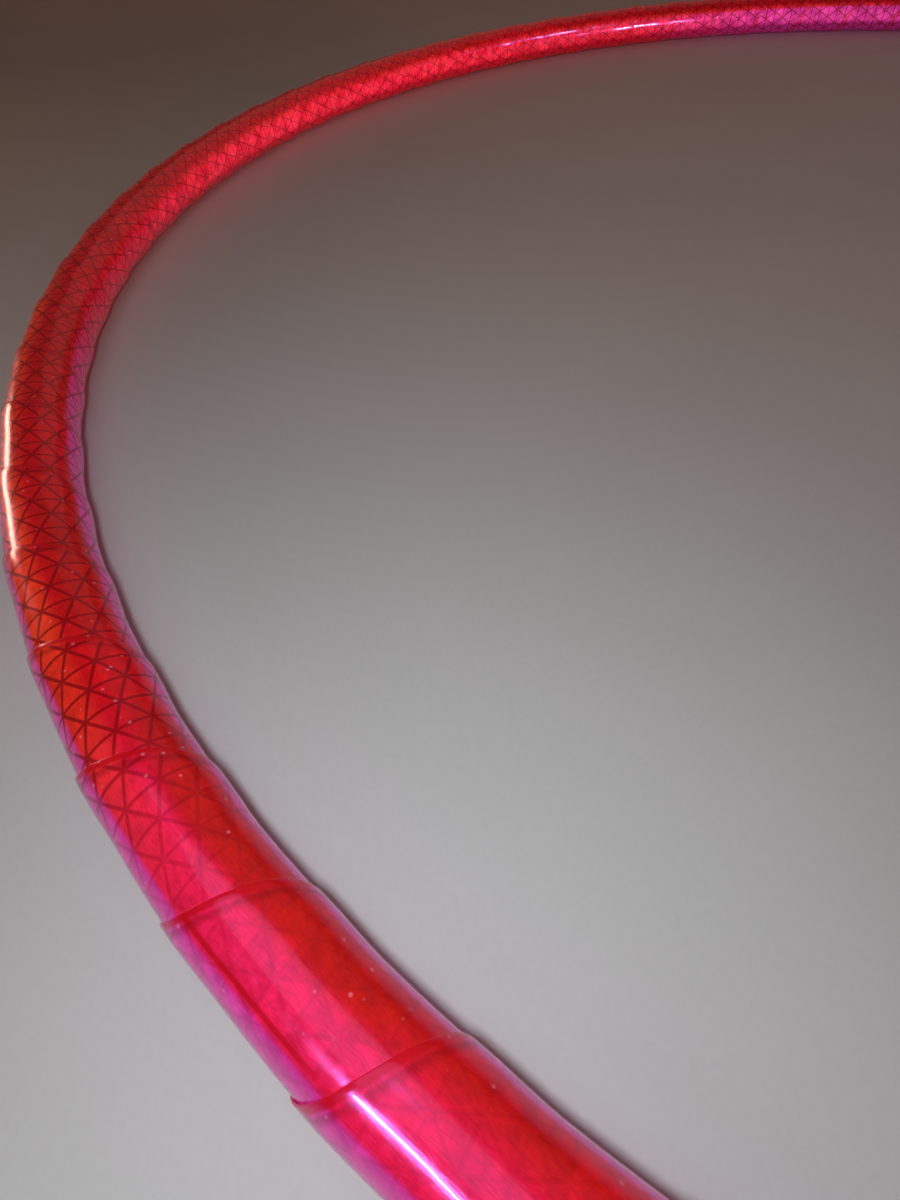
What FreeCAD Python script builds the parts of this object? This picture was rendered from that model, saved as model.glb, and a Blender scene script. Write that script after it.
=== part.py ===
import FreeCAD, Part
import os
import Sketcher
from FreeCAD import Placement, Rotation, Vector

# A hoop for rhythmic gymnastics: a plastic tube bent to a ring, opened at one seam, joined there by an
# insert tube with a rivet on one side and a sprung button on the other, and wrapped in prismatic tape.
# The ring lies in the XY plane round the origin, and its seam is on the +X side.

doc = FreeCAD.newDocument("RhythmicHoop")

# Driving sizes, in millimetres. Offsets are arc lengths from the seam along the tube's centreline.
driving = [
    ("ringRadius", 287.0, "ring centre to tube centreline"),
    ("tubeDia", 15.88, "bare tube, outside"),
    ("tubeWall", 1.5, "tube wall"),
    ("seamGap", 0.3, "between the two tube ends when closed"),
    ("insertClearance", 0.09, "radial, insert in tube"),
    ("insertWall", 1.5, "insert wall"),
    ("insertLength", 120.0, "insert, end to end"),
    ("insertChamfer", 0.8, "lead-in at the insert's ends"),
    ("glueLine", 0.02, "adhesive under tape and bands, and seating play of the rivet"),
    ("tapeThickness", 0.38, "tape with its backing"),
    ("tapeTrim", 0.3, "tape cut back round the rivet and button"),
    ("bandWidth", 12.0, "finishing band at each tube end"),
    ("bandThickness", 0.15, "finishing band"),
    ("rivetOffset", 22.0, "seam to rivet"),
    ("rivetDia", 3.2, "rivet shank"),
    ("rivetClearance", 0.05, "radial, rivet in its holes"),
    ("rivetHeadDia", 6.2, "rivet head"),
    ("rivetHeadRise", 0.95, "rivet head above the tube"),
    ("rivetHeadRound", 0.7, "rounding of the rivet head"),
    ("rivetBulbDia", 4.6, "blind side of the rivet"),
    ("rivetBulbLength", 1.8, "blind side of the rivet"),
    ("mandrelDia", 1.8, "mandrel left in the rivet"),
    ("mandrelClearance", 0.05, "radial, mandrel in rivet"),
    ("mandrelHeadDia", 3.0, "mandrel head"),
    ("mandrelHeadLength", 1.2, "mandrel head"),
    ("mandrelRecess", 0.3, "broken end below the rivet head's top"),
    ("buttonOffset", 33.0, "seam to button"),
    ("buttonDia", 5.6, "button"),
    ("buttonClearance", 0.1, "radial, button in its holes"),
    ("buttonRise", 1.3, "button above the tape"),
    ("buttonRound", 1.6, "rounding of the button's top"),
    ("flangeLip", 0.6, "flange wider than the button, each side"),
    ("flangeThickness", 0.6, "flange that stops the button in the insert"),
    ("flangePlay", 0.08, "flange below the insert's bore"),
    ("shankDia", 2.6, "button shank through the spring"),
    ("shankClearance", 0.1, "radial, shank in the spring"),
    ("shankHeadLip", 0.5, "closed end of the shank, each side"),
    ("shankHeadLength", 0.5, "closed end of the shank"),
    ("springMargin", 1.1, "strip beside the shank hole, each side"),
    ("springThickness", 0.5, "spring strip"),
    ("springReach", 22.0, "button to the spring's bend"),
    ("springPad", 4.0, "flat of the upper leg, each side of the button"),
    ("springBendInside", 0.6, "inside radius of the bend"),
    ("springBendFlat", 0.2, "straight between the bend's two corners"),
    ("springClearance", 0.2, "lower leg above the insert's bore"),
]

sizes = doc.addObject("Spreadsheet::Sheet", "Sizes")
for row, (alias, value, note) in enumerate(driving, start=1):
    sizes.set("A%d" % row, alias)
    sizes.set("B%d" % row, str(value))
    sizes.set("C%d" % row, note)
    sizes.setAlias("B%d" % row, alias)
doc.recompute()

# Places that follow from the driving sizes. Heights are above the ring's mid plane.
derived = [
    ("tubeRadius", "Sizes.tubeDia / 2"),
    ("seamAngle", "Sizes.seamGap / Sizes.ringRadius * 180 / pi"),
    ("tapeInside", "tubeRadius + Sizes.glueLine"),
    ("tapeOutside", "tapeInside + Sizes.tapeThickness"),
    ("bandInside", "tapeOutside + Sizes.glueLine"),
    ("bandOutside", "bandInside + Sizes.bandThickness"),
    ("bandAngle", "Sizes.bandWidth / Sizes.ringRadius * 180 / pi"),
    ("insertRadius", "tubeRadius - Sizes.tubeWall - Sizes.insertClearance"),
    ("boreRadius", "insertRadius - Sizes.insertWall"),
    ("insertAngle", "Sizes.insertLength / Sizes.ringRadius * 180 / pi"),
    ("rivetAngle", "-Sizes.rivetOffset / Sizes.ringRadius * 180 / pi"),
    ("rivetHoleDia", "Sizes.rivetDia + 2 * Sizes.rivetClearance"),
    ("rivetTrimDia", "Sizes.rivetHeadDia + 2 * Sizes.tapeTrim"),
    ("rivetTop", "tubeRadius + Sizes.rivetHeadRise"),
    ("bulbTop", "sqrt(boreRadius ^ 2 - Sizes.rivetBulbDia ^ 2 / 4) - Sizes.rivetClearance"),
    ("bulbBottom", "bulbTop - Sizes.rivetBulbLength"),
    ("buttonAngle", "Sizes.buttonOffset / Sizes.ringRadius * 180 / pi"),
    ("buttonHoleDia", "Sizes.buttonDia + 2 * Sizes.buttonClearance"),
    ("buttonTrimDia", "buttonHoleDia + 2 * Sizes.tapeTrim"),
    ("buttonTop", "tapeOutside + Sizes.buttonRise"),
    ("flangeRadius", "Sizes.buttonDia / 2 + Sizes.flangeLip"),
    ("flangeTop", "sqrt(boreRadius ^ 2 - flangeRadius ^ 2) - Sizes.flangePlay"),
    ("flangeBottom", "flangeTop - Sizes.flangeThickness"),
    ("padTop", "flangeBottom - Sizes.glueLine"),
    ("padBottom", "padTop - Sizes.springThickness"),
    ("shankHeadTop", "padBottom - Sizes.glueLine"),
    ("shankHeadRadius", "Sizes.shankDia / 2 + Sizes.shankHeadLip"),
    ("springWidth", "Sizes.shankDia + 2 * Sizes.shankClearance + 2 * Sizes.springMargin"),
    ("bendHalf", "Sizes.springBendInside + Sizes.springThickness + Sizes.springBendFlat / 2"),
    ("tailBottom", "-sqrt(boreRadius ^ 2 - springWidth ^ 2 / 4) + Sizes.springClearance"),
    ("springSkew", "Sizes.springReach / Sizes.ringRadius * 90 / pi"),
]

places = doc.addObject("Spreadsheet::Sheet", "Places")
for row, (alias, formula) in enumerate(derived, start=1):
    places.set("A%d" % row, alias)
    places.set("B%d" % row, "=" + formula)
    places.setAlias("B%d" % row, alias)
doc.recompute()


def originPlane(body, role):
    return next(item for item in body.Origin.OriginFeatures if item.Role == role)


def newBody(label):
    body = doc.addObject("PartDesign::Body", label)
    body.Label = label
    return body


def newSketch(body, role, name):
    sketch = body.newObject("Sketcher::SketchObject", name)
    sketch.AttachmentSupport = [(originPlane(body, role), "")]
    sketch.MapMode = "FlatFace"
    return sketch


def valueOf(formula):
    """The present value of a formula, to start a sketch near its solved shape."""
    found = places.evalExpression(formula)
    return float(getattr(found, "Value", found))


def fixPoint(sketch, geometry, point, across, up):
    """Hold one point of a sketch at two formulas, measured from the sketch's origin."""
    for kind, axis, formula in (("DistanceX", -2, across), ("DistanceY", -1, up)):
        if formula == "0":
            sketch.addConstraint(Sketcher.Constraint("PointOnObject", geometry, point, axis))
            continue
        held = Sketcher.Constraint(kind, -1, 1, geometry, point, valueOf(formula))
        index = sketch.addConstraint(held)
        sketch.setExpression("Constraints[%d]" % index, formula)


def drawCircle(sketch, across, up, diameter):
    centre = Vector(valueOf(across), valueOf(up), 0)
    circle = Part.Circle(centre, Vector(0, 0, 1), valueOf(diameter) / 2)
    geometry = sketch.addGeometry(circle)
    fixPoint(sketch, geometry, 3, across, up)
    index = sketch.addConstraint(Sketcher.Constraint("Diameter", geometry, valueOf(diameter)))
    sketch.setExpression("Constraints[%d]" % index, diameter)


def drawOutline(sketch, corners):
    """A closed outline of straight lines through corners given as pairs of formulas."""
    spots = [Vector(valueOf(across), valueOf(up), 0) for across, up in corners]
    count = len(corners)
    first = sketch.GeometryCount
    for index in range(count):
        sketch.addGeometry(Part.LineSegment(spots[index], spots[(index + 1) % count]))
    for index in range(count):
        following = first + (index + 1) % count
        sketch.addConstraint(Sketcher.Constraint("Coincident", first + index, 2, following, 1))
    for index, (across, up) in enumerate(corners):
        fixPoint(sketch, first + index, 1, across, up)


def turnedRing(label, outside, inside, start, angle):
    """A hollow ring section turned about Z through an angle, from a start angle off +X."""
    body = newBody(label)
    sketch = newSketch(body, "XZ_Plane", "Section")
    drawCircle(sketch, "Sizes.ringRadius", "0", "2 * (%s)" % outside)
    drawCircle(sketch, "Sizes.ringRadius", "0", "2 * (%s)" % inside)
    turn = body.newObject("PartDesign::Revolution", "Turn")
    turn.Profile = sketch
    turn.ReferenceAxis = (originPlane(body, "Z_Axis"), [""])
    turn.setExpression("Angle", angle)
    turnAboutZ(body, start)
    doc.recompute()
    return body


def lathe(body, name, corners):
    """A piece turned about its own upright axis from a half outline."""
    sketch = newSketch(body, "XZ_Plane", name + "Outline")
    drawOutline(sketch, corners)
    turn = body.newObject("PartDesign::Revolution", name)
    turn.Profile = sketch
    turn.ReferenceAxis = (sketch, ["V_Axis"])
    turn.Angle = 360
    doc.recompute()
    return turn


def drilled(body, label, holes):
    """The ring section cut through its upper wall only, at each angle and diameter given."""
    part = body
    for name, angle, diameter in holes:
        cutter = doc.addObject("Part::Cylinder", name)
        cutter.setExpression("Radius", "%s / 2" % diameter)
        cutter.setExpression("Height", "Places.buttonTop")
        cutter.setExpression("Placement.Base.x", "Sizes.ringRadius * cos(%s)" % angle)
        cutter.setExpression("Placement.Base.y", "Sizes.ringRadius * sin(%s)" % angle)
        cut = doc.addObject("Part::Cut", name + "Cut")
        cut.Base = part
        cut.Tool = cutter
        part = cut
    doc.recompute()
    for name, angle, diameter in holes:
        spot = Vector(valueOf("Sizes.ringRadius * cos(%s)" % angle),
                      valueOf("Sizes.ringRadius * sin(%s)" % angle), 0)
        spot.z = body.Shape.BoundBox.ZMax
        column = Part.makeLine(Vector(spot.x, spot.y, 0), spot)
        if column.common(part.Shape).Length > 0:
            raise RuntimeError("%s leaves the wall of %s closed" % (name, label))
    part.Label = label
    return part


def edgesWhere(feature, wanted):
    names = []
    for index, edge in enumerate(feature.Shape.Edges, start=1):
        if wanted(edge):
            names.append("Edge%d" % index)
    return names


def dress(body, kind, base, wanted, size):
    """A fillet or chamfer on the edges of a feature that pass a test."""
    names = edgesWhere(base, wanted)
    if not names:
        raise RuntimeError("no edge to dress in " + body.Label)
    feature = body.newObject("PartDesign::" + kind, kind)
    feature.Base = (base, names)
    feature.setExpression("Radius" if kind == "Fillet" else "Size", size)
    doc.recompute()
    return feature


def endCircle(radius):
    """A test for the round edges of that radius at the cut ends of a ring section."""
    def wanted(edge):
        curve = edge.Curve
        if not isinstance(curve, Part.Circle):
            return False
        return abs(curve.Radius - radius) < 1e-4 and abs(curve.Axis.z) < 0.5
    return wanted


def levelCircle(radius, height):
    """A test for a level round edge of that radius at that height."""
    def wanted(edge):
        curve = edge.Curve
        if not isinstance(curve, Part.Circle):
            return False
        return abs(curve.Radius - radius) < 1e-4 and abs(curve.Center.z - height) < 1e-4
    return wanted


def turnAboutZ(body, angle):
    body.Placement = Placement(Vector(0, 0, 0), Rotation(Vector(0, 0, 1), 1))
    body.setExpression("Placement.Rotation.Angle", angle)


def standOnRing(body, angle, turn):
    """Put a body's own origin on the tube's centreline, turned about Z."""
    turnAboutZ(body, turn)
    body.setExpression("Placement.Base.x", "Sizes.ringRadius * cos(%s)" % angle)
    body.setExpression("Placement.Base.y", "Sizes.ringRadius * sin(%s)" % angle)


def hoopTube():
    inside = "Places.tubeRadius - Sizes.tubeWall"
    body = turnedRing("TubeRing", "Places.tubeRadius", inside, "Places.seamAngle / 2",
                      "360 - Places.seamAngle")
    return drilled(body, "hoop_tube", [
        ("TubeRivetHole", "Places.rivetAngle", "Places.rivetHoleDia"),
        ("TubeButtonHole", "Places.buttonAngle", "Places.buttonHoleDia"),
    ])


def connectorInsert():
    body = turnedRing("InsertRing", "Places.insertRadius", "Places.boreRadius",
                      "360 - Places.insertAngle / 2", "Places.insertAngle")
    dress(body, "Chamfer", body.Tip, endCircle(valueOf("insertRadius")), "Sizes.insertChamfer")
    return drilled(body, "connector_insert", [
        ("InsertRivetHole", "Places.rivetAngle", "Places.rivetHoleDia"),
        ("InsertButtonHole", "Places.buttonAngle", "Places.buttonHoleDia"),
    ])


def prismaticTape():
    body = turnedRing("TapeRing", "Places.tapeOutside", "Places.tapeInside",
                      "Places.seamAngle / 2", "360 - Places.seamAngle")
    return drilled(body, "prismatic_tape", [
        ("TapeRivetTrim", "Places.rivetAngle", "Places.rivetTrimDia"),
        ("TapeButtonTrim", "Places.buttonAngle", "Places.buttonTrimDia"),
    ])


def endBand(label, start):
    """A finishing band over the tape's end, on one side of the seam."""
    return turnedRing(label, "Places.bandOutside", "Places.bandInside", start, "Places.bandAngle")


def rivetBody():
    body = newBody("rivet_body")
    skirt = "sqrt(Places.tubeRadius ^ 2 - Sizes.rivetHeadDia ^ 2 / 4) - Sizes.rivetHeadRise / 2"
    head = lathe(body, "Head", [
        ("0", skirt),
        ("Sizes.rivetHeadDia / 2", skirt),
        ("Sizes.rivetHeadDia / 2", "Places.rivetTop"),
        ("0", "Places.rivetTop"),
    ])
    rim = levelCircle(valueOf("Sizes.rivetHeadDia / 2"), valueOf("rivetTop"))
    dress(body, "Fillet", head, rim, "Sizes.rivetHeadRound")
    seat = body.newObject("PartDesign::SubtractiveTorus", "TubeSeat")
    seat.setExpression("Radius1", "Sizes.ringRadius")
    seat.setExpression("Radius2", "Places.tapeInside")
    seat.Placement = Placement(Vector(-1, 0, 0), Rotation())
    seat.setExpression("Placement.Base.x", "-Sizes.ringRadius")
    doc.recompute()
    crown = "Places.tubeRadius + Sizes.glueLine"
    lathe(body, "Shank", [
        ("0", "Places.bulbBottom"),
        ("Sizes.rivetBulbDia / 2", "Places.bulbBottom"),
        ("Sizes.rivetBulbDia / 2", "Places.bulbTop"),
        ("Sizes.rivetDia / 2", "Places.bulbTop"),
        ("Sizes.rivetDia / 2", crown + " + Sizes.rivetHeadRise / 2"),
        ("0", crown + " + Sizes.rivetHeadRise / 2"),
    ])
    before = body.Shape.Volume
    sketch = newSketch(body, "XY_Plane", "MandrelCircle")
    drawCircle(sketch, "0", "0", "Sizes.mandrelDia + 2 * Sizes.mandrelClearance")
    bore = body.newObject("PartDesign::Pocket", "MandrelBore")
    bore.Profile = sketch
    bore.Type = "ThroughAll"
    bore.Midplane = True
    doc.recompute()
    if not body.Shape.Volume < before:
        raise RuntimeError("the rivet has no bore")
    standOnRing(body, "Places.rivetAngle", "Places.rivetAngle + 360")
    return body


def rivetMandrel():
    body = newBody("rivet_mandrel")
    top = "Places.rivetTop - Sizes.mandrelRecess"
    shoulder = "Places.bulbBottom - Sizes.glueLine"
    foot = shoulder + " - Sizes.mandrelHeadLength"
    lathe(body, "Pin", [
        ("0", foot),
        ("Sizes.mandrelDia / 2", foot),
        ("Sizes.mandrelHeadDia / 2", shoulder + " - Sizes.mandrelHeadLength / 3"),
        ("Sizes.mandrelHeadDia / 2", shoulder),
        ("Sizes.mandrelDia / 2", shoulder),
        ("Sizes.mandrelDia / 2", top),
        ("0", top),
    ])
    standOnRing(body, "Places.rivetAngle", "Places.rivetAngle + 360")
    return body


def snapButton():
    body = newBody("snap_button")
    foot = "Places.shankHeadTop - Sizes.shankHeadLength"
    turn = lathe(body, "Button", [
        ("0", foot),
        ("Places.shankHeadRadius", foot),
        ("Places.shankHeadRadius", "Places.shankHeadTop"),
        ("Sizes.shankDia / 2", "Places.shankHeadTop"),
        ("Sizes.shankDia / 2", "Places.flangeBottom"),
        ("Places.flangeRadius", "Places.flangeBottom"),
        ("Places.flangeRadius", "Places.flangeTop"),
        ("Sizes.buttonDia / 2", "Places.flangeTop"),
        ("Sizes.buttonDia / 2", "Places.buttonTop"),
        ("0", "Places.buttonTop"),
    ])
    rim = levelCircle(valueOf("Sizes.buttonDia / 2"), valueOf("buttonTop"))
    dress(body, "Fillet", turn, rim, "Sizes.buttonRound")
    standOnRing(body, "Places.buttonAngle", "Places.buttonAngle")
    return body


def buttonSpring():
    """A strip bent to a V, standing on edge in X and Z, with its bend towards the seam (-X)."""
    body = newBody("button_spring")
    sketch = newSketch(body, "XZ_Plane", "Outline")
    bendWall = "-Sizes.springReach + Sizes.springThickness"
    drawOutline(sketch, [
        ("Sizes.springPad", "Places.tailBottom"),
        ("Sizes.springPad", "Places.tailBottom + Sizes.springThickness"),
        (bendWall, "-Places.bendHalf + Sizes.springThickness"),
        (bendWall, "Places.bendHalf - Sizes.springThickness"),
        ("-Sizes.springPad", "Places.padBottom"),
        ("Sizes.springPad", "Places.padBottom"),
        ("Sizes.springPad", "Places.padTop"),
        ("-Sizes.springPad", "Places.padTop"),
        ("-Sizes.springReach", "Places.bendHalf"),
        ("-Sizes.springReach", "-Places.bendHalf"),
    ])
    strip = body.newObject("PartDesign::Pad", "Strip")
    strip.Profile = sketch
    strip.Midplane = True
    strip.setExpression("Length", "Places.springWidth")
    doc.recompute()
    wallPlaces = (-valueOf("Sizes.springReach"), valueOf(bendWall))

    def acrossAt(place):
        def wanted(edge):
            if not isinstance(edge.Curve, Part.Line):
                return False
            ends = [vertex.Point for vertex in edge.Vertexes]
            level = abs(ends[0].z - ends[1].z) < 1e-6
            return level and all(abs(end.x - place) < 1e-4 for end in ends)
        return wanted

    outer = dress(body, "Fillet", strip, acrossAt(wallPlaces[0]),
                  "Sizes.springBendInside + Sizes.springThickness")
    dress(body, "Fillet", outer, acrossAt(wallPlaces[1]), "Sizes.springBendInside")
    before = body.Shape.Volume
    hole = newSketch(body, "XY_Plane", "ShankCircle")
    hole.setExpression("AttachmentOffset.Base.z", "Places.padBottom - Sizes.glueLine")
    drawCircle(hole, "0", "0", "Sizes.shankDia + 2 * Sizes.shankClearance")
    pocket = body.newObject("PartDesign::Pocket", "ShankHole")
    pocket.Profile = hole
    pocket.Type = "ThroughAll"
    pocket.Reversed = True
    doc.recompute()
    if not body.Shape.Volume < before:
        raise RuntimeError("the spring has no shank hole")
    standOnRing(body, "Places.buttonAngle", "Places.buttonAngle + 90 - Places.springSkew")
    return body


pieces = [
    hoopTube(),
    connectorInsert(),
    rivetBody(),
    rivetMandrel(),
    buttonSpring(),
    snapButton(),
    prismaticTape(),
    endBand("end_band_fixed", "360 - Places.seamAngle / 2 - Places.bandAngle"),
    endBand("end_band_free", "Places.seamAngle / 2"),
]
doc.recompute()

for item in doc.Objects:
    if "Invalid" in item.State or "Error" in item.State:
        raise RuntimeError("%s is %s" % (item.Label, item.State))
for piece in pieces:
    shape = piece.Shape
    if shape.isNull() or not shape.isValid() or len(shape.Solids) != 1:
        raise RuntimeError("%s has no single valid solid" % piece.Label)

os.makedirs("parts", exist_ok=True)
for piece in pieces:
    piece.Shape.exportStep(os.path.join("parts", piece.Label + ".step"))
    print("%-18s %10.1f mm3" % (piece.Label, piece.Shape.Volume))
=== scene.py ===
import math
import random

import bmesh
import bpy
from mathutils import Euler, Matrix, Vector


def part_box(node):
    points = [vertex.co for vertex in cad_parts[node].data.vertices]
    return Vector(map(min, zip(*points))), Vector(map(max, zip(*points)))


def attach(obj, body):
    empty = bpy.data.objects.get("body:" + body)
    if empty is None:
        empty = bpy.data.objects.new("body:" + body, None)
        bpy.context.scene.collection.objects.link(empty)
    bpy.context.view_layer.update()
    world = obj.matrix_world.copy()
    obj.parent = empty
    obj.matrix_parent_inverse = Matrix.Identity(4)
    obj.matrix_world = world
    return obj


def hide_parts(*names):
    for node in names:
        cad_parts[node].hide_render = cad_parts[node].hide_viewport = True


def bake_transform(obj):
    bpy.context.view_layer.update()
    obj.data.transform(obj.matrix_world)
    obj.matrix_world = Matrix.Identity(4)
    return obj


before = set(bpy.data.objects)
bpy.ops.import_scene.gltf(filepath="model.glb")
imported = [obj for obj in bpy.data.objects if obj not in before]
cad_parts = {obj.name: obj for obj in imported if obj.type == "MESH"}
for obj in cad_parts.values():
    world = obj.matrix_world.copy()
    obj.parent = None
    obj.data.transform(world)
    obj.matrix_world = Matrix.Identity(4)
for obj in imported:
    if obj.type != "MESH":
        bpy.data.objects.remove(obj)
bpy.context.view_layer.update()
print("frame loaded:", len(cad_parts), "nodes")

# sizes read from the frame
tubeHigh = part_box("hoop_tube")[1]
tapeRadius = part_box("prismatic_tape")[1][2]
buttonLow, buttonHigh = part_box("snap_button")
rivetLow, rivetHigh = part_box("rivet_body")

tubeRadius = tubeHigh[2]
ringRadius = round(tubeHigh[1] - tubeRadius, 3)     # tube centreline


def middle(low, high):
    return Vector([(a + b) / 2 for a, b in zip(low, high)])


def ringAngle(place):
    return math.atan2(place[1], place[0])


buttonAngle = ringAngle(middle(buttonLow, buttonHigh))
rivetAngle = ringAngle(middle(rivetLow, rivetHigh))

camera = {
    "place": (0.0, -0.9698 * ringRadius, 0.3068 * ringRadius),
    "turn": (37.133, 3.297, 35.28),      # degrees
    "lens": 18.0,
    "sensor": 36.0,
    "clip": (0.005, 50.0),
}


def makeCamera():
    data = bpy.data.cameras.new("camera")
    data.lens = camera["lens"]
    data.sensor_width = camera["sensor"]
    data.clip_start, data.clip_end = camera["clip"]
    obj = bpy.data.objects.new("camera", data)
    obj.location = camera["place"]
    obj.rotation_euler = Euler([math.radians(a) for a in camera["turn"]])
    bpy.context.scene.collection.objects.link(obj)
    bpy.context.scene.camera = obj


makeCamera()


def toObject(bm, name, smooth=True):
    mesh = bpy.data.meshes.new(name)
    bm.to_mesh(mesh)
    bm.free()
    if smooth:
        mesh.shade_smooth()
    obj = bpy.data.objects.new(name, mesh)
    bpy.context.scene.collection.objects.link(obj)
    return obj


def ringPoint(theta, phi, radius):
    out = ringRadius + radius * math.cos(phi)
    return Vector((out * math.cos(theta), out * math.sin(theta), radius * math.sin(phi)))


def ease(x):
    x = min(1.0, max(0.0, x))
    return x * x * (3.0 - 2.0 * x)


class Shader:
    # A short way to add and join nodes in one tree.
    def __init__(self, tree):
        self.tree = tree

    def node(self, kind, **settings):
        made = self.tree.nodes.new(kind)
        for key, value in settings.items():
            setattr(made, key, value)
        return made

    def feed(self, socket, value):
        if isinstance(value, bpy.types.NodeSocket):
            self.tree.links.new(value, socket)
        else:
            socket.default_value = value

    def math(self, operation, first, second=None):
        made = self.node("ShaderNodeMath", operation=operation)
        for socket, value in zip(made.inputs, (first, second)):
            if value is not None:
                self.feed(socket, value)
        return made.outputs[0]

    def remap(self, value, low, high, toLow=0.0, toHigh=1.0, smooth=True):
        made = self.node("ShaderNodeMapRange", interpolation_type="SMOOTHSTEP" if smooth else "LINEAR")
        for socket, item in zip(made.inputs, (value, low, high, toLow, toHigh)):
            self.feed(socket, item)
        return made.outputs[0]

    def mix(self, share, first, second):
        made = self.node("ShaderNodeMix", data_type="RGBA")
        self.feed(made.inputs[0], share)
        self.feed(made.inputs[6], first)
        self.feed(made.inputs[7], second)
        return made.outputs[2]

    def vector(self, x, y, z):
        made = self.node("ShaderNodeCombineXYZ")
        for socket, value in zip(made.inputs, (x, y, z)):
            self.feed(socket, value)
        return made.outputs[0]

    def noise(self, where, scale, detail=2.0, rough=0.5):
        made = self.node("ShaderNodeTexNoise")
        self.feed(made.inputs["Vector"], where)
        made.inputs["Scale"].default_value = scale
        made.inputs["Detail"].default_value = detail
        made.inputs["Roughness"].default_value = rough
        return made.outputs["Fac"]

    def bump(self, height, strength, distance):
        made = self.node("ShaderNodeBump")
        made.inputs["Strength"].default_value = strength
        made.inputs["Distance"].default_value = distance
        self.feed(made.inputs["Height"], height)
        return made.outputs["Normal"]

    def group(self, tree, **values):
        made = self.node("ShaderNodeGroup")
        made.node_tree = tree
        for key, value in values.items():
            self.feed(made.inputs[key], value)
        return made


def newGroup(name, inputs, outputs):
    tree = bpy.data.node_groups.new(name, "ShaderNodeTree")
    for label, kind, value in inputs:
        socket = tree.interface.new_socket(label, in_out="INPUT", socket_type=kind)
        if value is not None:
            socket.default_value = value
    for label, kind in outputs:
        tree.interface.new_socket(label, in_out="OUTPUT", socket_type=kind)
    shader = Shader(tree)
    return shader, shader.node("NodeGroupInput").outputs, shader.node("NodeGroupOutput").inputs


def newMaterial(name, **plain):
    material = bpy.data.materials.new(name)
    material.use_nodes = True
    shader = Shader(material.node_tree)
    principled = material.node_tree.nodes["Principled BSDF"]
    for key, value in plain.items():
        principled.inputs[key].default_value = value
    return material, shader, principled.inputs


def rgb(red, green, blue):
    # 0 to 255 screen values to the linear colour that the shader takes
    linear = []
    for value in (red, green, blue):
        value /= 255.0
        linear.append(value / 12.92 if value <= 0.04045 else ((value + 0.055) / 1.055) ** 2.4)
    return (*linear, 1.0)


def makeScuffGroup():
    shader, given, out = newGroup("fineScuffs", [
        ("Scale", "NodeSocketFloat", 400.0),
        ("Base Roughness", "NodeSocketFloat", 0.3),
        ("Spread", "NodeSocketFloat", 0.15),
    ], [("Roughness", "NodeSocketFloat"), ("Height", "NodeSocketFloat")])
    where = shader.node("ShaderNodeTexCoord").outputs["Object"]
    fine = shader.node("ShaderNodeTexNoise")
    shader.feed(fine.inputs["Vector"], where)
    shader.feed(fine.inputs["Scale"], given["Scale"])
    fine.inputs["Detail"].default_value = 5.0
    change = shader.math("MULTIPLY", shader.math("SUBTRACT", fine.outputs["Fac"], 0.5), given["Spread"])
    shader.feed(out["Roughness"], shader.math("ADD", given["Base Roughness"], change))
    shader.feed(out["Height"], fine.outputs["Fac"])
    return shader.tree


def makeLatticeGroup():
    # Three sets of lines, 60 degrees apart, that meet in shared points; distances in metres
    shader, given, out = newGroup("triangleLattice", [
        ("Along", "NodeSocketFloat", 0.0),
        ("Across", "NodeSocketFloat", 0.0),
        ("Spacing", "NodeSocketFloat", 0.00485),
        ("Line Width", "NodeSocketFloat", 0.0004),
    ], [("Lines", "NodeSocketFloat"), ("Cell", "NodeSocketFloat")])
    lean = math.sqrt(3.0) / 2.0
    half = shader.math("MULTIPLY", given["Along"], 0.5)
    rise = shader.math("MULTIPLY", given["Across"], lean)
    sets = (given["Along"], shader.math("ADD", half, rise), shader.math("SUBTRACT", rise, half))
    nearest = None
    steps = []
    for distance in sets:
        turns = shader.math("DIVIDE", distance, given["Spacing"])
        steps.append(shader.math("FLOOR", turns))
        part = shader.math("SUBTRACT", shader.math("FRACT", shader.math("ADD", turns, 0.5)), 0.5)
        away = shader.math("MULTIPLY", shader.math("ABSOLUTE", part), given["Spacing"])
        nearest = away if nearest is None else shader.math("MINIMUM", nearest, away)
    inner = shader.math("MULTIPLY", given["Line Width"], 0.30)
    outer = shader.math("MULTIPLY", given["Line Width"], 0.78)
    shader.feed(out["Lines"], shader.remap(nearest, inner, outer, 1.0, 0.0))
    chance = shader.node("ShaderNodeTexWhiteNoise", noise_dimensions="3D")
    shader.feed(chance.inputs["Vector"], shader.vector(*steps))
    shader.feed(out["Cell"], chance.outputs["Value"])
    return shader.tree


def makeStrandGroup():
    # Fine brushed strands that run one way and waver a little
    shader, given, out = newGroup("brushedStrands", [
        ("Vector", "NodeSocketVector", None),
        ("Length Scale", "NodeSocketFloat", 260.0),
        ("Width Scale", "NodeSocketFloat", 2600.0),
        ("Waver", "NodeSocketFloat", 0.25),
    ], [("Strands", "NodeSocketFloat"), ("Clumps", "NodeSocketFloat")])
    parts = shader.node("ShaderNodeSeparateXYZ")
    shader.feed(parts.inputs[0], given["Vector"])
    drift = shader.noise(given["Vector"], 330.0, 2.0)
    waver = shader.math("MULTIPLY", shader.math("SUBTRACT", drift, 0.5), given["Waver"])
    across = shader.math("ADD", parts.outputs[1], shader.math("MULTIPLY", waver, 0.004))
    where = shader.vector(
        shader.math("MULTIPLY", parts.outputs[0], given["Length Scale"]),
        shader.math("MULTIPLY", across, given["Width Scale"]),
        shader.math("MULTIPLY", parts.outputs[2], given["Length Scale"]),
    )
    shader.feed(out["Strands"], shader.noise(where, 1.0, 3.0, 0.6))
    shader.feed(out["Clumps"], shader.noise(given["Vector"], 420.0, 3.0, 0.6))
    return shader.tree


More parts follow.
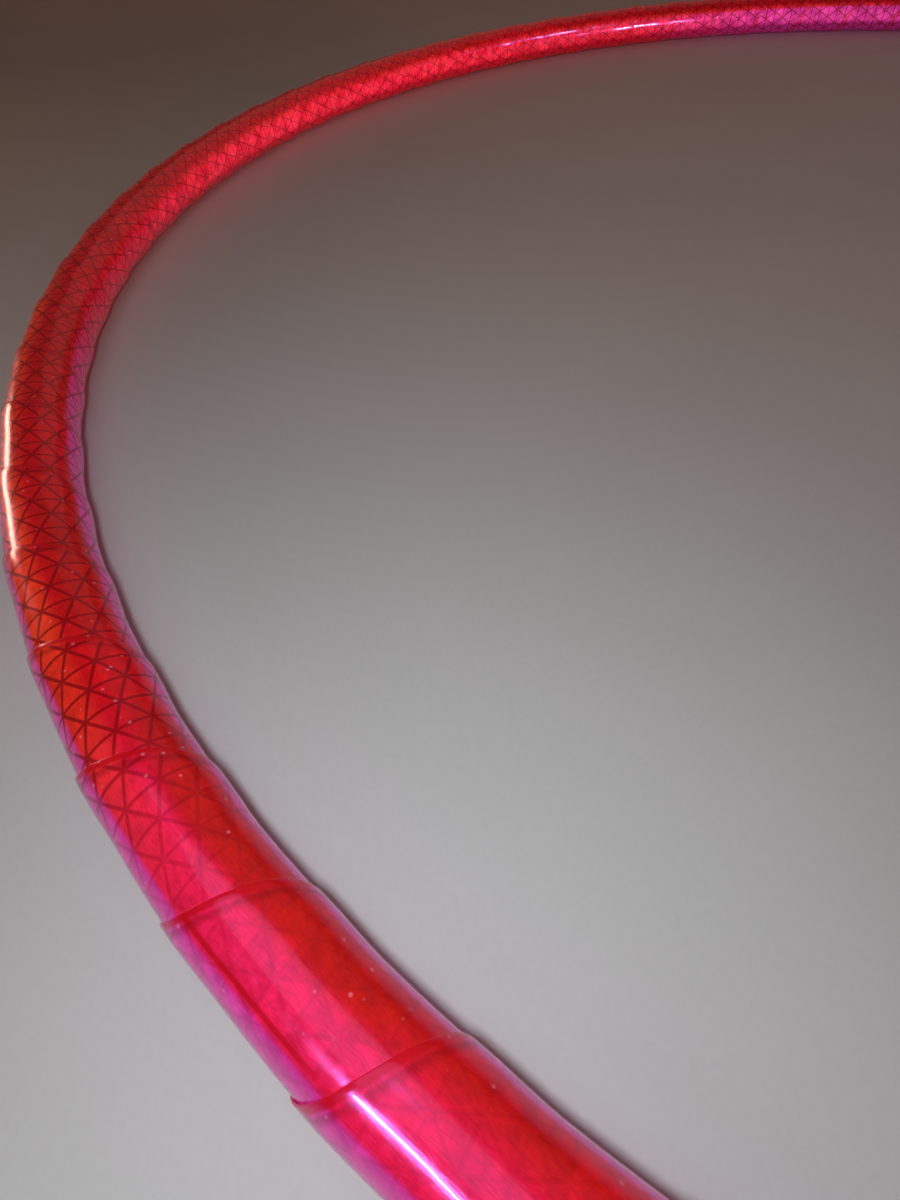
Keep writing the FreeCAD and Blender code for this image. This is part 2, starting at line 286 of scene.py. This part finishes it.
scuffs = makeScuffGroup()
lattice = makeLatticeGroup()
strands = makeStrandGroup()
print("shared effects made")

tape = {
    "width": 0.0254,
    "turnAngle": math.radians(5.32),     # the ring angle that one turn of tape advances
    "freeEdge": math.radians(-98.58),    # ring angle of a free edge on the tube's outer side
    "layer": 0.00032,                    # height of one layer over the tube
    "lift": 0.00040,                     # extra height of the free edge over the turn below
    "ledge": 0.0006,                     # width beyond the overlap that stays lifted
    "ramp": 0.0115,                      # length along the ring in which the lift fades
    "rampSteps": 7,
    "backPlaces": (0.62, 0.8),           # further points across, as shares of the tape's span
    "tuck": 0.0012,                      # last stretch of the covered edge
    "liftSpread": 0.12,                  # share by which the lift varies from turn to turn
    "bandCover": 0.0125,                 # half length under the finishing bands, where the lift is least
    "bandFade": 0.006,
    "seamLift": 0.12,                    # share of the lift that is left there
    "spare": 0.004,                      # ring angle wound past the seam before the ends are cut
    "edgeRound": 0.00005,
    "edgeReach": 0.00012,
    "stepsPerTurn": 42,
    "waviness": 0.00018,
    "cellSpacing": 0.00485,
    "lineWidth": 0.00050,
    "glowMiddle": math.radians(-116),    # ring angle from the free edge to the middle of the far glow
    "deepRed": rgb(216, 14, 20),
    "crimson": rgb(232, 24, 74),
    "orange": rgb(255, 62, 16),
    "brownRed": rgb(196, 22, 4),
    # colour of the painted floor reflection
    "floorReflectionViolet": rgb(218, 54, 164),
    "glint": rgb(255, 150, 170),
    "line": rgb(134, 3, 6),
    "margin": rgb(188, 4, 10),
    "seed": 7,
    "rivetHole": 0.0034,                 # radius of the hole round the rivet's head
    "buttonHole": 0.0032,
}

pitch = ringRadius * tape["turnAngle"]
leadAngle = math.atan2(pitch, 2.0 * math.pi * tapeRadius)
tapeSpan = tape["width"] / math.cos(leadAngle)       # the tape's width measured along the ring
overlap = tapeSpan - pitch


def tapeSection():
    # Places across the tape, from its free edge, along the ring, and the top and bottom heights there
    reach = tape["edgeReach"]
    rampStart = overlap + tape["ledge"]
    count = tape["rampSteps"]
    places = [0.0, 0.3 * reach, reach, 0.5 * overlap, overlap, rampStart]
    places += [rampStart + tape["ramp"] * (i + 1) / count for i in range(count)]
    places += [share * tapeSpan for share in tape["backPlaces"]]
    places += [tapeSpan - tape["tuck"], tapeSpan]
    rows = []
    for place in sorted(places):
        fade = 1.0 - ease((place - overlap) / tape["ramp"])
        top = tape["layer"]
        if place < reach:
            top -= tape["edgeRound"] * (1.0 - place / reach) ** 2
        rows.append((place, top, 0.00001 if place > overlap else 0.00002, fade))
    return rows


def seamClearance(theta):
    # 0 close to the seam, under the bands, and 1 away from it
    away = abs((theta + math.pi) % (2.0 * math.pi) - math.pi) * ringRadius
    return ease((away - tape["bandCover"]) / tape["bandFade"])


def buildTape():
    rng = random.Random(tape["seed"])
    rows = tapeSection()
    steps = tape["stepsPerTurn"]
    spanAngle = tapeSpan / ringRadius
    base = tape["freeEdge"] + 2.0 * math.pi                     # free edge at phi 0
    firstTurn = math.floor((-base - spanAngle) / tape["turnAngle"])
    lastTurn = math.ceil((2.0 * math.pi - base) / tape["turnAngle"]) + 1
    spread = tape["liftSpread"]
    lifts = [1.0 + rng.uniform(-spread, spread) for _ in range(lastTurn - firstTurn + 2)]
    waves = [(rng.uniform(0.6, 2.4), rng.uniform(0, 6.28)) for _ in range(4)]

    bm = bmesh.new()
    tapeLayer = bm.loops.layers.uv.new("tape")
    ringLayer = bm.loops.layers.uv.new("ring")
    places = {}
    rings = []
    for step in range((lastTurn - firstTurn) * steps + 1):
        turn = firstTurn + step / steps
        phi = 2.0 * math.pi * turn
        edge = base + tape["turnAngle"] * turn
        if edge + spanAngle < -tape["spare"] or edge > 2.0 * math.pi + tape["spare"]:
            continue
        wave = sum(math.sin(rate * phi + phase) for rate, phase in waves) / len(waves)
        share = (step % steps) / steps
        lift = tape["lift"] * (lifts[step // steps] * (1.0 - share) + lifts[step // steps + 1] * share)
        ring = []
        for outside in (True, False):
            for place, top, bottom, fade in rows if outside else rows[::-1]:
                stray = tape["waviness"] * wave * (1.0 - place / tapeSpan)
                theta = edge + (place + stray) / ringRadius
                raised = lift * fade * max(tape["seamLift"], seamClearance(theta))
                height = raised + (top if outside else bottom)
                vert = bm.verts.new(ringPoint(theta, phi, tubeRadius + height))
                places[vert] = ((theta - base) * ringRadius, phi * tapeRadius)
                ring.append(vert)
        rings.append(ring)
    for before, after in zip(rings, rings[1:]):
        for i in range(len(before)):
            j = (i + 1) % len(before)
            bm.faces.new((before[i], before[j], after[j], after[i]))
    bm.faces.new(rings[0][::-1])
    bm.faces.new(rings[-1])
    for face in bm.faces:
        for loop in face.loops:
            along, around = places[loop.vert]
            loop[tapeLayer].uv = (along * math.sin(leadAngle) + around * math.cos(leadAngle),
                                  along * math.cos(leadAngle) - around * math.sin(leadAngle))
            loop[ringLayer].uv = (along, around)
    bmesh.ops.recalc_face_normals(bm, faces=bm.faces)
    trimAtSeam(bm, rings, places)
    wrap = toObject(bm, "tapeWrap")
    punchHole(wrap, rivetAngle, tape["rivetHole"])
    punchHole(wrap, buttonAngle, tape["buttonHole"])
    return wrap


def trimAtSeam(bm, rings, places):
    # The two ends of the winding run past the seam, so each is cut off on its own side of it
    seamHalf = 0.00015
    near = 6 * tape["stepsPerTurn"]
    for group, side in ((rings[:near], 1.0), (rings[-near:], -1.0)):
        faces = {face for ring in group for vert in ring for face in vert.link_faces}
        edges = {edge for face in faces for edge in face.edges}
        verts = {vert for face in faces for vert in face.verts}
        bmesh.ops.bisect_plane(bm, geom=[*verts, *edges, *faces], dist=1e-7,
                               plane_co=(0.0, side * seamHalf, 0.0), plane_no=(0.0, side, 0.0),
                               clear_inner=True)
        bmesh.ops.holes_fill(bm, edges=[edge for edge in bm.edges if edge.is_boundary], sides=0)


def punchHole(obj, angle, radius):
    bm = bmesh.new()
    bmesh.ops.create_cone(bm, cap_ends=True, segments=64, radius1=radius, radius2=radius, depth=0.006)
    cutter = toObject(bm, "cutter")
    cutter.location = (ringRadius * math.cos(angle), ringRadius * math.sin(angle), tubeRadius + 0.0006)
    change = obj.modifiers.new("hole", "BOOLEAN")
    change.object = cutter
    change.solver = "EXACT"
    bpy.context.view_layer.update()
    cut = bpy.data.meshes.new_from_object(obj.evaluated_get(bpy.context.evaluated_depsgraph_get()))
    obj.modifiers.clear()
    obj.data = cut
    bpy.data.objects.remove(cutter)


filmLook = {
    # middles of the zones of painted light, shade and reflection round the section, in degrees from the
    # outside over the top
    "flank": 58, "crown": 74, "upper": 104, "shoulder": 130, "glow": 176, "inner": 185, "fold": 58,
    # where each zone starts and is full, as cosines of the angle from its middle
    "flankRange": (0.78, 0.99), "crownRange": (0.55, 0.95), "shoulderRange": (0.78, 0.97),
    "innerRange": (0.55, 1.0), "upperRange": (0.66, 0.54), "glowRange": (0.80, 0.985),
    "foldRange": (0.9982, 0.9998),
    # along the ring, the colours swing twice round it; 1 is close to the free edge
    "swingShift": 0.14, "crimsonSwing": (0.86, 0.985), "violetSwing": (-0.1, 0.6),
    "faintSwing": (0.88, 0.99), "faintLines": (0.85, 0.14), "glowAway": (0.10, 0.75),
    "foldStart": (0.008, 0.020), "foldEnd": (0.085, 0.108),
    "driftScale": 30.0, "sparkleScale": 190.0, "glintScale": 620.0,
    "glintSize": (0.10, 0.22), "glintShare": (0.78, 0.84),
    "brushLength": 420.0, "brushWidth": 5200.0, "brushWaver": 0.25,
    "marginShare": 0.8, "creaseShadeShare": 0.45, "foldShadeShare": 0.8, "glintMix": 0.32, "glowPink": 0.07,
    "emission": 0.9, "emissionLow": 0.17,
    "bumpStrength": 0.12, "bumpDistance": 0.00010,
}


def tapeMaterial():
    look = filmLook
    material, shader, surface = newMaterial(
        "prismaticFilm", **{
            "IOR": 1.9, "Specular Tint": (0.45, 0.22, 1.0, 1.0),
            "Emission Strength": look["emission"],
            "Coat Weight": 0.42, "Coat Roughness": 0.03, "Coat IOR": 1.5,
        })
    where = shader.node("ShaderNodeUVMap", uv_map="tape").outputs[0]
    flat = shader.node("ShaderNodeSeparateXYZ")
    shader.feed(flat.inputs[0], where)
    cells = shader.group(lattice, **{"Along": flat.outputs[0], "Across": flat.outputs[1],
                                     "Spacing": tape["cellSpacing"],
                                     "Line Width": tape["lineWidth"]}).outputs
    ringPlace = shader.node("ShaderNodeUVMap", uv_map="ring").outputs[0]
    ring = shader.node("ShaderNodeSeparateXYZ")
    shader.feed(ring.inputs[0], ringPlace)
    hairs = shader.group(strands, **{"Vector": ringPlace, "Length Scale": look["brushLength"],
                                     "Width Scale": look["brushWidth"],
                                     "Waver": look["brushWaver"]}).outputs

    # the smooth margin along the free edge, with painted shade along the soft crease at its inner side
    marginWidth = overlap * math.cos(leadAngle)
    across = flat.outputs[1]
    margin = shader.remap(across, marginWidth * 0.45, marginWidth * 0.75, 1.0, 0.0)
    creaseShade = shader.math("MULTIPLY",
                         shader.remap(across, marginWidth * 0.6, marginWidth * 1.0, 0.0, 1.0),
                         shader.remap(across, marginWidth * 1.0, marginWidth * 1.7, 1.0, 0.0))
    plain = shader.math("SUBTRACT", 1.0, margin)

    # painted light and shade: the colour zones round the tube and along the ring stand for light and
    # reflections fixed in place. Orange is where the warm side light falls on the upper outer flank.
    # Crimson is on the crown lit by the near lamp and on the lit inner side. Brown-red is painted shade
    # on the inner shoulder. Violet is a painted reflection of the floor low on both sides. The drift
    # noise varies the tone at random.
    place = shader.node("ShaderNodeNewGeometry").outputs["Position"]
    drift = shader.noise(place, look["driftScale"], 2.0)
    angle = shader.math("DIVIDE", ring.outputs[1], tapeRadius)
    along = shader.math("DIVIDE", ring.outputs[0], ringRadius)      # ring angle from the free edge

    def zone(name, low=0.0, high=1.0):
        nearness = shader.math("COSINE", shader.math("SUBTRACT", angle, math.radians(look[name])))
        return shader.remap(nearness, *look[name + "Range"], low, high)

    def both(first, second):
        return shader.math("MULTIPLY", first, second)

    swing = shader.math("COSINE", both(shader.math("SUBTRACT", along, look["swingShift"]), 2.0))
    warmLightOrangeShare = both(zone("flank"), shader.remap(drift, 0.25, 0.6, 0.45, 1.0))
    litCrimsonShare = both(zone("crown"), shader.remap(swing, *look["crimsonSwing"]))
    litInnerShare = both(zone("inner", 0.0, 0.45), shader.remap(drift, 0.3, 0.7, 0.6, 1.0))
    paintedShadeBrownShare = both(zone("shoulder"), shader.remap(drift, 0.4, 0.6, 0.30, 0.95))
    floorReflectionVioletShare = both(zone("upper"), shader.remap(swing, *look["violetSwing"], 0.0, 0.85))
    # painted light: orange flank and crimson crown and inner side; painted shade: brown-red shoulder;
    # painted reflection: violet low sides
    body = shader.mix(warmLightOrangeShare, tape["deepRed"], tape["orange"])
    body = shader.mix(litCrimsonShare, body, tape["crimson"])
    body = shader.mix(litInnerShare, body, tape["crimson"])
    body = shader.mix(paintedShadeBrownShare, body, tape["brownRed"])
    body = shader.mix(floorReflectionVioletShare, body, tape["floorReflectionViolet"])
    perCell = shader.remap(cells["Cell"], 0.0, 1.0, 0.94, 1.06, smooth=False)
    fine = shader.remap(hairs["Strands"], 0.3, 0.7, 0.76, 1.20)
    clumps = shader.remap(hairs["Clumps"], 0.3, 0.7, 0.86, 1.10)
    scale = shader.node("ShaderNodeVectorMath", operation="SCALE")
    shader.feed(scale.inputs[0], body)
    shader.feed(scale.inputs["Scale"], both(both(perCell, fine), clumps))
    lines = both(cells["Lines"], plain)
    faint = shader.remap(swing, *look["faintSwing"], *look["faintLines"])     # fewer lines show there
    colour = shader.mix(both(lines, faint), scale.outputs[0], tape["line"])
    colour = shader.mix(both(margin, look["marginShare"]), colour, tape["margin"])
    # painted shade: the crease darkened with the line colour
    colour = shader.mix(both(creaseShade, look["creaseShadeShare"]), colour, tape["line"])

    # painted shade of one lengthwise fold just outside the crown, beyond the free edge, drawn as a
    # darker line with no relief
    foldPart = both(shader.remap(along, *look["foldStart"]),
                    shader.remap(along, *look["foldEnd"], 1.0, 0.0))
    fold = both(zone("fold"), foldPart)
    colour = shader.mix(both(fold, look["foldShadeShare"]), colour, tape["margin"])
    # painted highlights: small scattered pink glint dots on the film
    specks = shader.node("ShaderNodeTexVoronoi")
    shader.feed(specks.inputs["Vector"], place)
    specks.inputs["Scale"].default_value = look["glintScale"]
    pick = shader.node("ShaderNodeSeparateXYZ")
    shader.feed(pick.inputs[0], specks.outputs["Color"])
    glints = both(shader.remap(specks.outputs["Distance"], *look["glintSize"], 1.0, 0.0),
                  shader.remap(pick.outputs[0], *look["glintShare"]))
    colour = shader.mix(both(glints, look["glintMix"]), colour, tape["glint"])
    shader.feed(surface["Base Color"], colour)

    # painted light: a weak emission everywhere stands for light that the prisms throw back, and a
    # stronger glow with sparkle low on the inside, away from the free edge, stands for the light that
    # the film picks up from the floor
    away = shader.math("COSINE", shader.math("SUBTRACT", along, tape["glowMiddle"]))
    paintedFloorGlow = both(zone("glow"), shader.remap(away, *look["glowAway"]))
    sparkle = shader.noise(place, look["sparkleScale"], 2.0)
    paintedFloorGlow = both(paintedFloorGlow, shader.remap(sparkle, 0.38, 0.62, 0.45, 1.0))
    shine = shader.node("ShaderNodeVectorMath", operation="SCALE")
    shader.feed(shine.inputs[0], shader.mix(both(paintedFloorGlow, look["glowPink"]), colour, tape["glint"]))
    shader.feed(shine.inputs["Scale"],
                shader.remap(paintedFloorGlow, 0.0, 1.0, look["emissionLow"], 1.0, smooth=False))
    shader.feed(surface["Emission Color"], shine.outputs[0])

    shader.feed(surface["Metallic"], shader.remap(hairs["Strands"], 0.45, 0.75, 0.0, 0.35))
    shader.feed(surface["Roughness"], shader.remap(hairs["Clumps"], 0.3, 0.7, 0.17, 0.24))
    height = both(hairs["Strands"], plain)
    shader.feed(surface["Normal"], shader.bump(height, look["bumpStrength"], look["bumpDistance"]))
    return material


film = tapeMaterial()
tapeWrap = buildTape()
tapeWrap.data.materials.append(film)
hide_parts("prismatic_tape")
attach(tapeWrap, "hoop")
print("tape wound:", len(tapeWrap.data.polygons), "faces, lead angle",
      round(math.degrees(leadAngle), 1))

band = {
    "gap": 0.00015,
    "thickness": 0.00013,
    "steps": 96,
    "lap": math.radians(38),
    "lapStart": math.radians(-120),
    "lapRise": 0.25,                     # angle in which the lapped end climbs, in radians
    "sink": 0.00015,                     # how far the band presses into the tape
    "wander": 0.00015,                   # how far its free edge strays along the ring
    "bodyColour": rgb(150, 8, 16),
    "worn": rgb(196, 60, 58),
}


def bandMaterial():
    material, shader, surface = newMaterial("glossVinyl", **{
        "IOR": 1.5, "Coat Weight": 0.7, "Coat Roughness": 0.06,
    })
    where = shader.node("ShaderNodeTexCoord").outputs["Object"]
    wear = shader.group(scuffs, **{"Scale": 520.0, "Base Roughness": 0.34, "Spread": 0.22}).outputs
    stretch = shader.noise(where, 180.0, 4.0, 0.55)
    tone = shader.mix(shader.remap(stretch, 0.35, 0.7, 0.0, 0.35), band["bodyColour"], band["worn"])
    shader.feed(surface["Base Color"], tone)
    shader.feed(surface["Roughness"], wear["Roughness"])
    shader.feed(surface["Normal"], shader.bump(wear["Height"], 0.2, 0.00006))
    return material


def buildBand(name, node, side, material):
    # One turn of vinyl with its end lapped over its start, from the seam outwards
    low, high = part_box(node)
    reach = max(abs(low[1]), abs(high[1])) / (ringRadius + high[2])
    inner = high[2] - band["sink"]
    wound = 2.0 * math.pi + band["lap"]
    bm = bmesh.new()
    rings = []
    for i in range(band["steps"] + 1):
        share = i / band["steps"]
        phi = band["lapStart"] + share * wound
        over = ease((share * wound - 2.0 * math.pi + band["lapRise"]) / band["lapRise"])
        base = inner + over * (band["thickness"] + 0.00002)
        lean = band["wander"] * math.sin(3.0 * phi)
        start, end = band["gap"] / ringRadius, reach + lean / ringRadius
        outline = []
        for across, height in ((0.0, 0.3), (0.02, 0.85), (0.06, 1.0), (0.5, 1.0), (0.94, 1.0),
                               (0.98, 0.85), (1.0, 0.3), (1.0, 0.0), (0.5, 0.0), (0.0, 0.0)):
            theta = side * (start + (end - start) * across)
            outline.append(bm.verts.new(ringPoint(theta, phi, base + band["thickness"] * height)))
        rings.append(outline)
    for before, after in zip(rings, rings[1:]):
        for i in range(len(before)):
            j = (i + 1) % len(before)
            bm.faces.new((before[i], before[j], after[j], after[i]))
    bm.faces.new(rings[0][::-1])
    bm.faces.new(rings[-1])
    bmesh.ops.recalc_face_normals(bm, faces=bm.faces)
    obj = toObject(bm, name)
    obj.data.materials.append(material)
    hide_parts(node)
    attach(obj, "hoop")


vinyl = bandMaterial()
buildBand("bandRivetSide", "end_band_fixed", -1.0, vinyl)
buildBand("bandButtonSide", "end_band_free", 1.0, vinyl)
print("bands made")


def plasticMaterial(name, light, dark, rough):
    # Extruded plastic: clouding, small specks and small scuffs
    material, shader, surface = newMaterial(name, **{
        "IOR": 1.49,
    })
    where = shader.node("ShaderNodeTexCoord").outputs["Object"]
    cloud = shader.noise(where, 45.0, 4.0, 0.6)
    specks = shader.noise(where, 1900.0, 2.0, 0.5)
    share = shader.math("ADD", shader.remap(cloud, 0.3, 0.7, 0.0, 0.8),
                        shader.remap(specks, 0.62, 0.75, 0.0, 0.2))
    shader.feed(surface["Base Color"], shader.mix(share, light, dark))
    wear = shader.group(scuffs, **{"Scale": 700.0, "Base Roughness": rough, "Spread": 0.2}).outputs
    shader.feed(surface["Roughness"], wear["Roughness"])
    shader.feed(surface["Normal"], shader.bump(wear["Height"], 0.25, 0.00008))
    return material


def metalMaterial(name, bright, dull, rough, grain):
    material, shader, surface = newMaterial(name, **{"Metallic": 1.0})
    where = shader.node("ShaderNodeTexCoord").outputs["Object"]
    stretch = shader.node("ShaderNodeVectorMath", operation="MULTIPLY")
    shader.feed(stretch.inputs[0], where)
    stretch.inputs[1].default_value = grain
    lines = shader.noise(stretch.outputs[0], 1.0, 4.0, 0.65)
    stain = shader.noise(where, 600.0, 3.0, 0.6)
    shader.feed(surface["Base Color"], shader.mix(shader.remap(stain, 0.42, 0.72), bright, dull))
    wear = shader.group(scuffs, **{"Scale": 1500.0, "Base Roughness": rough, "Spread": 0.22}).outputs
    shader.feed(surface["Roughness"], wear["Roughness"])
    shader.feed(surface["Normal"], shader.bump(lines, 0.25, 0.00004))
    return material


def dressNode(name, material):
    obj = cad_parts[name]
    if not obj.material_slots:
        obj.data.materials.append(material)
    for entry in obj.material_slots:
        entry.link = "OBJECT"
        entry.material = material


dressNode("hoop_tube", plasticMaterial("tubePlastic", rgb(146, 26, 28), rgb(112, 16, 20), 0.42))
dressNode("connector_insert", plasticMaterial("insertPlastic", rgb(202, 201, 196), rgb(176, 175, 170),
                                              0.46))
dressNode("rivet_body", metalMaterial("satinAluminium", rgb(214, 214, 216), rgb(170, 171, 174), 0.34,
                                      (400.0, 400.0, 4000.0)))
dressNode("rivet_mandrel", metalMaterial("zincSteel", rgb(168, 168, 172), rgb(112, 110, 108), 0.44,
                                         (900.0, 900.0, 900.0)))
dressNode("snap_button", metalMaterial("nickelPlate", rgb(222, 218, 210), rgb(182, 176, 166), 0.16,
                                       (700.0, 700.0, 3000.0)))


def buildSpring():
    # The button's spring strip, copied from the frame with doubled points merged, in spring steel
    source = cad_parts["button_spring"]
    bm = bmesh.new()
    bm.from_mesh(source.data)
    bm.transform(source.matrix_world)
    bmesh.ops.remove_doubles(bm, verts=bm.verts, dist=1e-6)
    obj = toObject(bm, "springStrip", smooth=False)
    obj.data.materials.clear()
    obj.data.materials.append(metalMaterial("springSteel", rgb(186, 187, 190), rgb(128, 124, 118), 0.3,
                                            (300.0, 3500.0, 300.0)))
    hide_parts("button_spring")
    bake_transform(obj)


buildSpring()
print("tube and metal parts dressed")

studio = {
    "floorTones": (rgb(186, 187, 190), rgb(204, 205, 208)),
    "floorSize": 6.0,
    "floorDrop": 0.00003,                # gap under the lowest turn of the tape
    "world": (0.070, 0.042, 0.032, 1.0),
    "worldStrength": 1.0,
}


lights = {
    "nearLamp": {"place": (-0.010, -0.289, 0.104), "radius": 0.008, "power": 0.33,
                 "colour": (0.93, 1.0, 1.0)},
    "overhead": {"place": (-0.06, -0.30, 0.26), "aim": (-0.06, -0.30, 0.0), "size": (0.26, 0.26),
                 "power": 0.11, "colour": (0.94, 1.0, 1.0), "shape": "DISK"},
    "room": {"place": (-0.30, 1.80, 1.50), "aim": (-0.05, 0.0, 0.0), "size": (3.2, 2.2),
             "power": 4.6, "colour": (1.0, 0.49, 0.29)},
    "warmSide": {"place": (-0.95, -0.36, 0.12), "aim": (-0.20, -0.22, 0.0), "size": (0.30, 0.14),
                 "power": 0.13, "colour": (1.0, 0.60, 0.38), "spread": 60},
    "lowFront": {"place": (1.10, -0.42, 0.06), "aim": (-0.26, 0.04, 0.01), "size": (0.20, 0.08),
                 "power": 0.30, "colour": (1.0, 0.54, 0.42), "spread": 30},
    "behind": {"place": (-0.020, -0.76, 0.48), "aim": (0.0, -0.29, 0.0), "size": (0.17, 0.011),
               "power": 0.105, "colour": (1.0, 0.98, 0.96), "spread": 40, "diffuse": False},
    "farSide": {"place": (0.75, 0.10, 0.42), "aim": (-0.2, 0.2, 0.0), "size": (0.10, 0.10),
                "power": 0.08, "colour": (0.92, 0.90, 1.0), "spread": 60},
}


def makeFloor():
    bm = bmesh.new()
    bmesh.ops.create_grid(bm, x_segments=8, y_segments=8, size=studio["floorSize"] / 2)
    floor = toObject(bm, "floor")
    floor.location.z = -(tubeRadius + tape["layer"] + tape["lift"]) - studio["floorDrop"]
    material, shader, surface = newMaterial("paleFloor", **{"Roughness": 0.55})
    where = shader.node("ShaderNodeTexCoord").outputs["Object"]
    cloud = shader.noise(where, 9.0, 4.0, 0.6)
    grain = shader.noise(where, 900.0, 2.0)
    tone = shader.math("ADD", shader.remap(cloud, 0.3, 0.7, -0.02, 0.02),
                       shader.remap(grain, 0.3, 0.7, -0.01, 0.01))
    colour = shader.mix(shader.math("ADD", 0.5, shader.math("MULTIPLY", tone, 6.0)),
                        *studio["floorTones"])
    shader.feed(surface["Base Color"], colour)
    shader.feed(surface["Normal"], shader.bump(grain, 0.05, 0.0003))
    floor.data.materials.append(material)


def softLight(name, place, aim, size, power, colour, shape="RECTANGLE", spread=180, diffuse=True):
    data = bpy.data.lights.new(name, "AREA")
    data.shape = shape
    data.size, data.size_y = size
    data.energy = power
    data.color = colour
    data.spread = math.radians(spread)
    obj = bpy.data.objects.new(name, data)
    obj.location = place
    obj.rotation_euler = (Vector(aim) - Vector(place)).to_track_quat("-Z", "Y").to_euler()
    obj.visible_camera = False
    obj.visible_diffuse = diffuse
    bpy.context.scene.collection.objects.link(obj)


def lampLight(name, place, radius, power, colour):
    data = bpy.data.lights.new(name, "POINT")
    data.shadow_soft_size = radius
    data.energy = power
    data.color = colour
    obj = bpy.data.objects.new(name, data)
    obj.location = place
    obj.visible_camera = False
    obj.visible_glossy = False
    bpy.context.scene.collection.objects.link(obj)


def makeLights():
    # the near lamp only fills, the strip behind is only for its reflection
    for name, light in lights.items():
        if "radius" in light:
            lampLight(name, **light)
        else:
            softLight(name, **light)


def makeWorld():
    world = bpy.data.worlds.new("room")
    world.use_nodes = True
    back = world.node_tree.nodes["Background"]
    back.inputs["Color"].default_value = studio["world"]
    back.inputs["Strength"].default_value = studio["worldStrength"]
    bpy.context.scene.world = world
    bpy.context.scene.view_settings.view_transform = "Standard"


makeFloor()
makeLights()
makeWorld()
